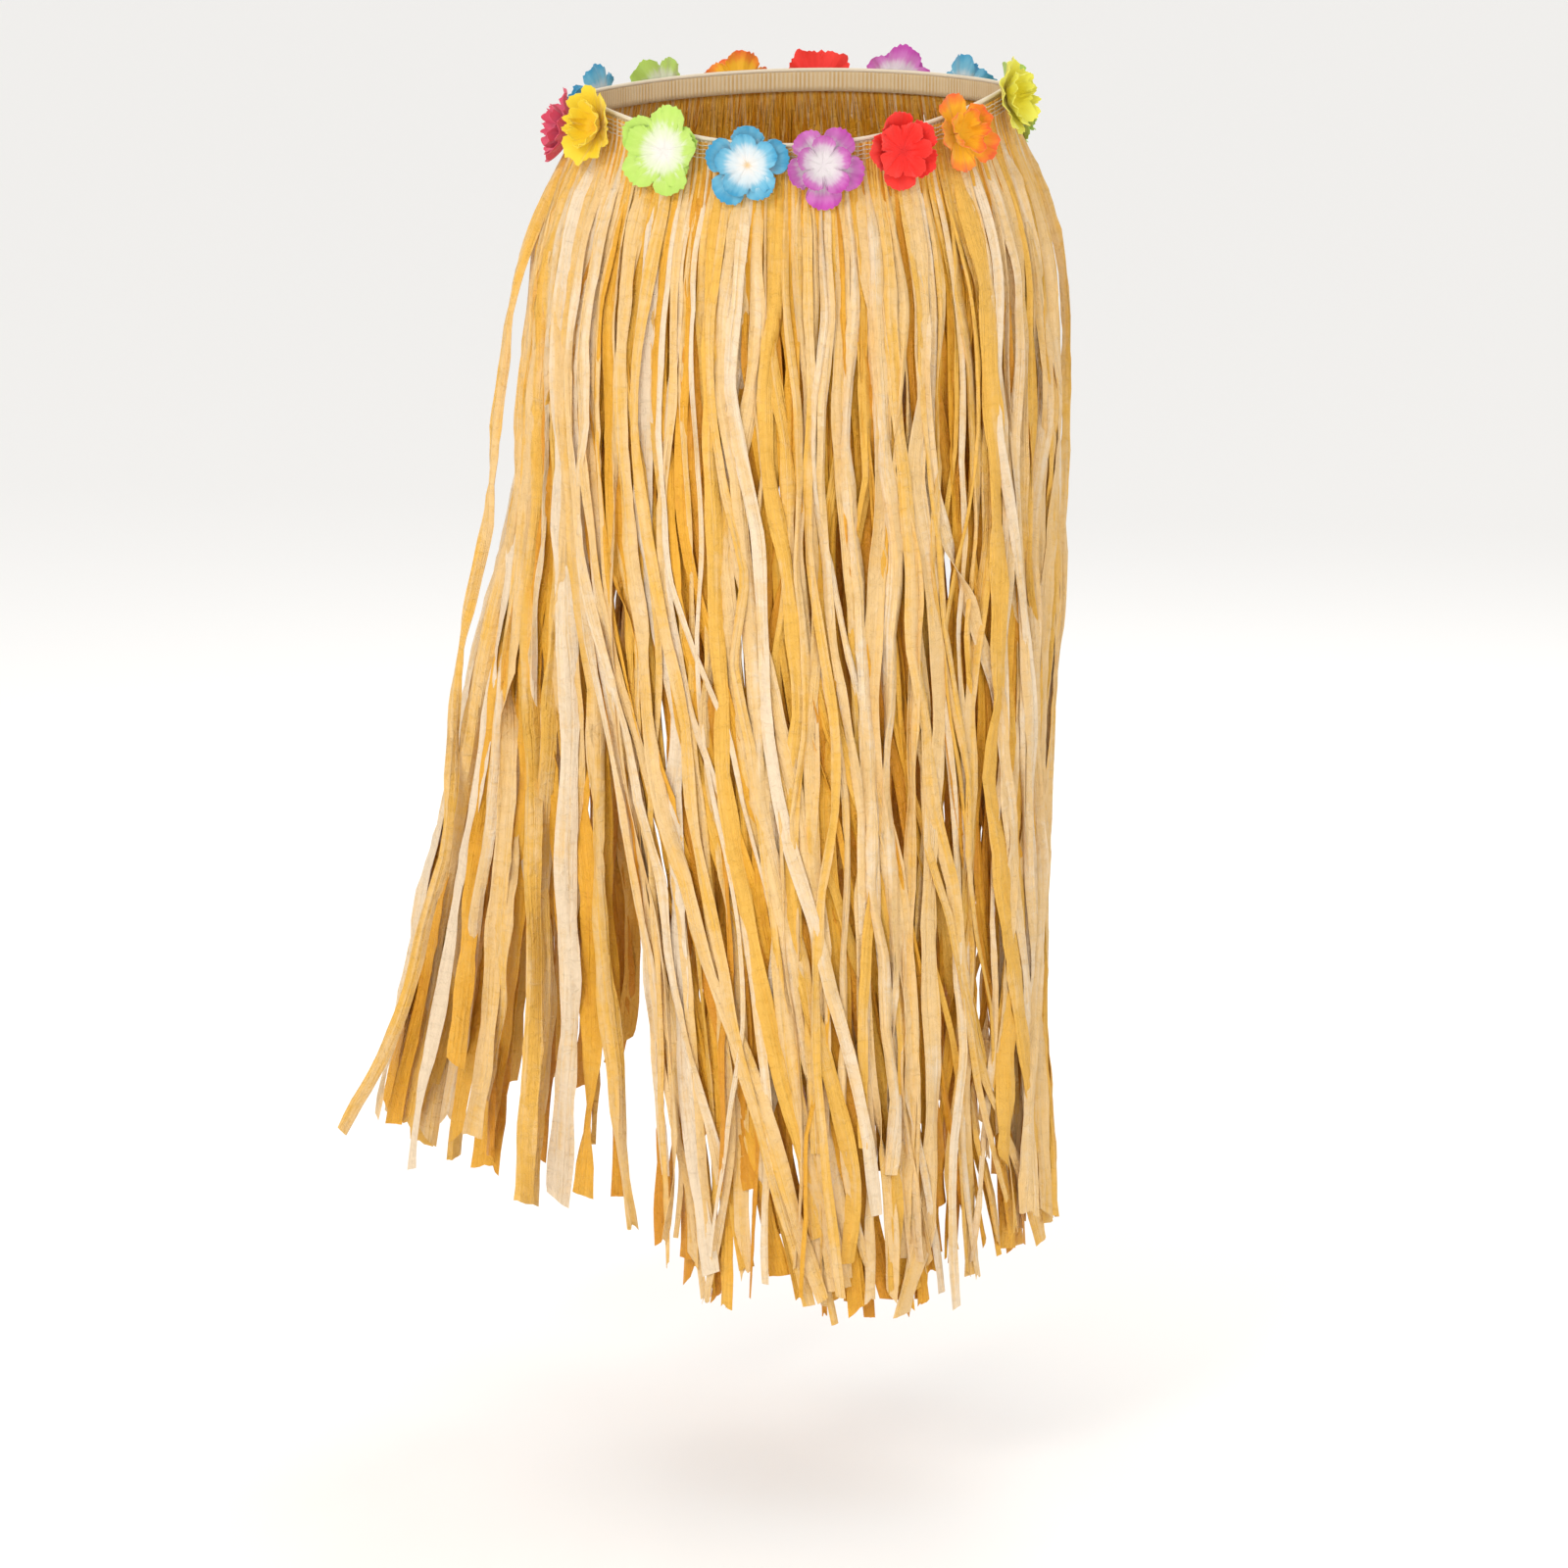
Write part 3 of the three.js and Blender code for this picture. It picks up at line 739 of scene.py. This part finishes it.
# Waistband: a ribbed elastic tape inside the raffia's heads, its top edge rolled, and the rows of
# thread that sew the heads on.
elastic = {
    "ribs": 300,
    "ribDepth": 0.4 * mm,
    "wall": 0.9 * mm,
    "pointsPerRib": 4,
    "rows": 4,
    "rollRadius": 1.5 * mm,
    "threadRadius": 0.34 * mm,
    "threadDrops": [-2.6 * mm, 0.2 * mm, 3.0 * mm, 5.8 * mm],
    "threadStand": 0.75 * mm,
    "threadDip": 0.35 * mm,
}


# puts the object's place and size into its mesh
def settle(piece):
    selectOnly(piece)
    bpy.ops.object.transform_apply(location=True, rotation=True, scale=True)


def coordinates(mesh):
    flat = np.empty(len(mesh.vertices) * 3)
    mesh.vertices.foreach_get("co", flat)
    return flat.reshape(-1, 3)


def putCoordinates(mesh, points):
    mesh.vertices.foreach_set("co", points.astype(np.float32).reshape(-1))
    mesh.update()


def bandAngle(points):
    return np.arctan2(points[:, 0] / band["side"], -points[:, 1] / band["depth"])


def liftOntoBand(mesh):
    points = coordinates(mesh)
    points[:, 2] += bandRise(bandAngle(points))
    putCoordinates(mesh, points)


def outwards(arc, drop):
    step = 0.2 * mm
    round_ = formPoint(arc + step, drop) - formPoint(arc - step, drop)
    return unit(np.cross(formPoint(arc, drop + mm) - formPoint(arc, drop - mm), round_))


# a round cord along a closed line of points
def cord(points, radius, sides):
    bpy.ops.object.select_all(action="DESELECT")
    bpy.ops.mesh.primitive_circle_add(vertices=len(points), radius=1, location=(0, 0, 0))
    line = bpy.context.object
    putCoordinates(line.data, points)
    bpy.ops.object.convert(target="CURVE")
    line.data.bevel_depth = radius
    line.data.bevel_resolution = sides // 2 - 2
    bpy.ops.object.convert(target="MESH")
    return line


def makeBand():
    bpy.ops.object.select_all(action="DESELECT")
    count = elastic["ribs"] * elastic["pointsPerRib"]
    bpy.ops.mesh.primitive_circle_add(vertices=count, radius=1, location=(0, 0, -band["height"] / 2))
    tape = bpy.context.object
    tape.name = "elastic_waistband"
    tape.scale = (band["side"], band["depth"], 1)
    settle(tape)
    bpy.ops.object.mode_set(mode="EDIT")
    bpy.ops.mesh.select_all(action="SELECT")
    for _ in range(elastic["rows"]):
        bpy.ops.mesh.extrude_region_move(
            TRANSFORM_OT_translate={"value": (0, 0, band["height"] / elastic["rows"])}
        )
    bpy.ops.mesh.select_all(action="SELECT")
    bpy.ops.mesh.normals_make_consistent(inside=False)
    bpy.ops.object.mode_set(mode="OBJECT")

    # the ribs flatten towards the band's two edges
    points = coordinates(tape.data)
    angle = bandAngle(points)
    wave = np.cos(angle * elastic["ribs"]) * (0.75 + 0.25 * np.sin(angle * 37))
    fade = 1 - (points[:, 2] / (band["height"] / 2)) ** 4 * 0.6
    points += unit(points * [1, 1, 0]) * (wave * fade * elastic["ribDepth"])[:, None]
    putCoordinates(tape.data, points)
    # painted shade, darkest in the grooves between the ribs
    paintedGrooveShade = tape.data.attributes.new("paintedGrooveShade", "FLOAT", "POINT")
    paintedGrooveShade.data.foreach_set("value", (0.5 - 0.5 * wave * fade).astype(np.float32))
    wall = tape.modifiers.new("wall", "SOLIDIFY")
    wall.thickness = elastic["wall"]
    wall.offset = 0
    selectOnly(tape)
    bpy.ops.object.modifier_apply(modifier="wall")
    liftOntoBand(tape.data)

    ring = np.linspace(0, bandLength, 240, endpoint=False)
    rollAngle = angleAt(ring)
    rollPoints = np.stack(
        [
            (band["side"] + 0.3 * mm) * np.sin(rollAngle),
            -(band["depth"] + 0.3 * mm) * np.cos(rollAngle),
            band["height"] / 2 - mm + bandRise(rollAngle),
        ],
        axis=-1,
    )
    parts = [tape, cord(rollPoints, elastic["rollRadius"], 10)]
    stitches = band["locks"] * raffia["perLock"]
    run = (np.arange(stitches * 4) / 4 + 0.5) * bandLength / stitches
    for row, drop in enumerate(elastic["threadDrops"]):
        over = np.cos(2 * math.pi * (run / bandLength * stitches + 0.5))
        stand = elastic["threadStand"] + elastic["threadDip"] * over
        wobble = 0.25 * mm * np.sin(run * 900 + row)
        threadPoints = formPoint(run, drop + wobble) + outwards(run, drop) * stand[:, None]
        parts.append(cord(threadPoints, elastic["threadRadius"], 4))
    bpy.ops.object.select_all(action="DESELECT")
    for part in parts:
        part.data.materials.clear()
        part.data.materials.append(elasticCloth)
        part.data.shade_smooth()
        part.select_set(True)
    bpy.context.view_layer.objects.active = tape
    bpy.ops.object.join()
    return tape


elasticCloth = elasticFinish()
waistband = makeBand()
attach(waistband, "root")
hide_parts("waistband")
print("waistband sewn")

# Flowers: two layers of cloth petals each, with the solids' places. frontTurn is from the back
# layer to the front one. stand is how far the front petals lift and away how far the petals on
# the side towards the back lift, in radians. tip makes petals pointed, or notched if negative, and
# notch is how far out the petals part.
petalSheet = {
    "spokes": 100,
    "rings": 10,
    "wall": 0.45 * mm,
    "roundness": 0.34,
    "count": 5,
    "fullness": 1.1,  # soft petals spread past their solids
    "frontShare": 0.84,
    "frontLift": 2.4 * mm,
    "backLift": 0.9 * mm,
    "lowest": -0.2 * mm,
    "ruffle": 1.5 * mm,
    "crease": 0.9 * mm,
    "ribs": 0.3 * mm,
}
flowerColumns = ("dye", "arc", "drop", "radius", "cup", "spin", "frontTurn")
flowerColumns += ("stand", "away", "tip", "notch")
flowerRows = [
    ("pink", -199, 18, 26, 8, 12, 36, 0.5, 0.6, 0, 0.54),
    ("yellow", -146, 5, 27, 9, 40, 36, 0.45, 0.75, -0.12, 0.66),
    ("green", -86, 6, 28.5, 5, 8, 12, 0.02, 0.25, 0, 0.54),
    ("blue", -30, 7, 26.5, 5, 18, 10, 0.1, 0.1, 0, 0.54),
    ("purple", 18, 7, 26, 6, 54, 36, 0.25, 0.05, 0, 0.54),
    ("red", 71, 6, 25, 6, 36, 36, 0.3, 0.35, 0.03, 0.68),
    ("orange", 114, 6, 25.5, 6, 36, 36, 0.6, 0.6, 0, 0.6),
    ("lemon", 171, -3, 26, 9, 30, 36, 0.4, 0.7, -0.1, 0.62),
    ("green", 226, 6, 28, 6, 50, 36, 0.2, 0.3, 0, 0.54),
    ("blue", 281, 7, 27, 6, 14, 10, 0.3, 0.1, 0, 0.54),
    ("purple", 335, 5, 27.5, 7, 34, 36, 0.2, 0.1, 0, 0.54),
    ("red", 390, 6, 26, 8, 62, 36, 0.4, 0.1, 0.1, 0.68),
    ("orange", 443, 7, 27, 6, 26, 36, 0.4, 0.1, 0, 0.6),
    ("green", 498, 5, 28, 6, 46, 12, 0.1, 0.2, 0, 0.54),
    ("blue", 553, 6, 27, 6, 4, 10, 0.25, 0.3, 0, 0.54),
]
flowers = [dict(zip(flowerColumns, row)) for row in flowerRows]


# the plane that a flower lies in, on the band's top edge and on the raffia below
def flowerSeat(arc, drop):
    lowSeat, fullness = 38 * mm, 2.65 * mm
    top = formPoint(arc, -band["height"] / 2) + outwards(arc, 0.0) * mm
    low = formPoint(arc, lowSeat) + outwards(arc, lowSeat) * fullness
    up = unit(top - low)
    right = unit(np.cross(up, outwards(arc, 0.0)))
    share = (drop + band["height"] / 2) / (lowSeat + band["height"] / 2)
    return top + (low - top) * share, right, up, unit(np.cross(right, up))


# one flat round of cloth in rings, which every flower is shaped from
def cutPetalSheet():
    rings = petalSheet["rings"]
    bpy.ops.object.select_all(action="DESELECT")
    bpy.ops.mesh.primitive_circle_add(
        vertices=petalSheet["spokes"], radius=1 / rings, fill_type="TRIFAN", calc_uvs=False
    )
    blank = bpy.context.object
    blank.name = "petal_blank"
    bpy.ops.object.mode_set(mode="EDIT")
    bpy.ops.mesh.select_mode(type="EDGE")
    bpy.ops.mesh.select_all(action="SELECT")
    bpy.ops.mesh.region_to_loop()
    for ring in range(1, rings):
        bpy.ops.mesh.extrude_region_move()
        grown = (ring + 1) / ring
        bpy.ops.transform.resize(value=(grown, grown, 1), center_override=(0, 0, 0))
    bpy.ops.object.mode_set(mode="OBJECT")
    return blank


# A layer of petals: outline, cup, ruffles and creases, each petal a little different.
def shapePetals(blank, name, flower, front):
    centre, right, up, outward = flowerSeat(flower["arc"] * mm, flower["drop"] * mm)
    petals = petalSheet["count"]
    radius = flower["radius"] * mm * petalSheet["fullness"] * (petalSheet["frontShare"] if front else 1)
    spin = math.radians(flower["spin"] + (flower["frontTurn"] if front else 0))
    piece = blank.copy()
    piece.data = blank.data.copy()
    piece.name = name
    bpy.context.collection.objects.link(piece)

    flat = coordinates(piece.data)
    share = np.hypot(flat[:, 0], flat[:, 1])
    theta = np.arctan2(flat[:, 1], flat[:, 0])
    turn = np.mod(theta - spin, 2 * math.pi) / (2 * math.pi) * petals
    which = np.floor(turn + 0.5).astype(int) % petals
    local = (turn + 0.5) % 1 - 0.5  # across a petal, from -0.5 to 0.5
    beside = (which + np.sign(local).astype(int)) % petals
    blend = 0.5 * smooth(np.abs(local), 0.34, 0.5)

    def each(low, high):
        values = rng.uniform(low, high, petals)
        return values[which] * (1 - blend) + values[beside] * blend

    lobe = np.clip(np.cos(math.pi * local), 0, 1) ** petalSheet["roundness"]
    outline = flower["notch"] + (1 - flower["notch"]) * lobe
    outline = outline * (1 + flower["tip"] * np.exp(-((local / 0.09) ** 2))) * each(0.9, 1.05)
    outline = outline * (1 + 0.018 * np.sin(local * 70 + each(0, 6)) + 0.012 * np.sin(local * 173))
    outline = 1 + (outline - 1) * smooth(share, 0.12, 0.7)
    stand = each(-0.12, 0.24) + (flower["stand"] * each(0.5, 1.4) if front else 0.0)
    backwards = np.cos(theta) * np.sign(flower["arc"]) * (1 if abs(flower["arc"]) < 400 else -1)
    stand = stand + flower["away"] * smooth(backwards, 0.1, 0.9)
    curl = each(-0.5, 0.25)
    cup = 2 * flower["cup"] * mm / radius
    along = np.linspace(0, 1, 24)[None, :] * share[:, None]
    lift = cup * along + stand[:, None] * smooth(along, 0.1, 0.5) + curl[:, None] * smooth(along, 0.6, 1)
    spread = radius * outline * share * np.cos(lift).mean(axis=1)
    height = radius * outline * share * np.sin(lift).mean(axis=1)
    ruffle = each(0, 6)
    middle = np.exp(-((local / 0.07) ** 2)) * np.sin(math.pi * np.clip(share, 0, 1))
    height += petalSheet["ruffle"] * share**2.5 * np.sin(local * 15 + ruffle)
    height -= petalSheet["crease"] * middle
    height += petalSheet["ribs"] * np.sin(local * 46 + ruffle) * share * smooth(share, 0.2, 0.5)
    height = np.maximum(height, petalSheet["lowest"])
    height += petalSheet["frontLift"] if front else petalSheet["backLift"]
    points = centre + right * (spread * np.cos(theta))[:, None] + up * (spread * np.sin(theta))[:, None]
    putCoordinates(piece.data, points + outward * height[:, None])

    carried = piece.data.attributes.new("reach", "FLOAT", "POINT")
    carried.data.foreach_set("value", (share * outline * 0.85).astype(np.float32))
    corners = np.empty(len(piece.data.loops), dtype=int)
    piece.data.loops.foreach_get("vertex_index", corners)
    layer = piece.data.uv_layers.new(name="petal")
    uv = np.stack([turn / petals + flower["spin"], share], axis=-1)[corners]
    layer.data.foreach_set("uv", uv.reshape(-1).astype(np.float32))
    wall = piece.modifiers.new("wall", "SOLIDIFY")
    wall.thickness = petalSheet["wall"]
    wall.offset = 0
    selectOnly(piece)
    bpy.ops.object.modifier_apply(modifier="wall")
    bpy.ops.object.shade_smooth_by_angle(angle=math.radians(60))
    rim = share > 1 - 1e-4
    order = np.argsort(theta[rim])
    edge = (radius * outline[rim])[order]
    area = float(0.5 * np.sum(edge * np.roll(edge, -1)) * math.sin(2 * math.pi / petalSheet["spokes"]))
    return piece, radius, area


petalCloth = {name: petalFinish(name) for name in dyes}
petalBlank = cutPetalSheet()
for number, flower in enumerate(flowers, 1):
    for layerName in ("back", "front"):
        name = f"flower_{number:02d}_{layerName}_petals"
        piece, radius, area = shapePetals(petalBlank, name + "_cloth", flower, layerName == "front")
        piece.data.materials.clear()
        piece.data.materials.append(petalCloth[flower["dye"]])
        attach(piece, "root")
        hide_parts(name)
bpy.data.objects.remove(petalBlank)
print("flowers sewn on")
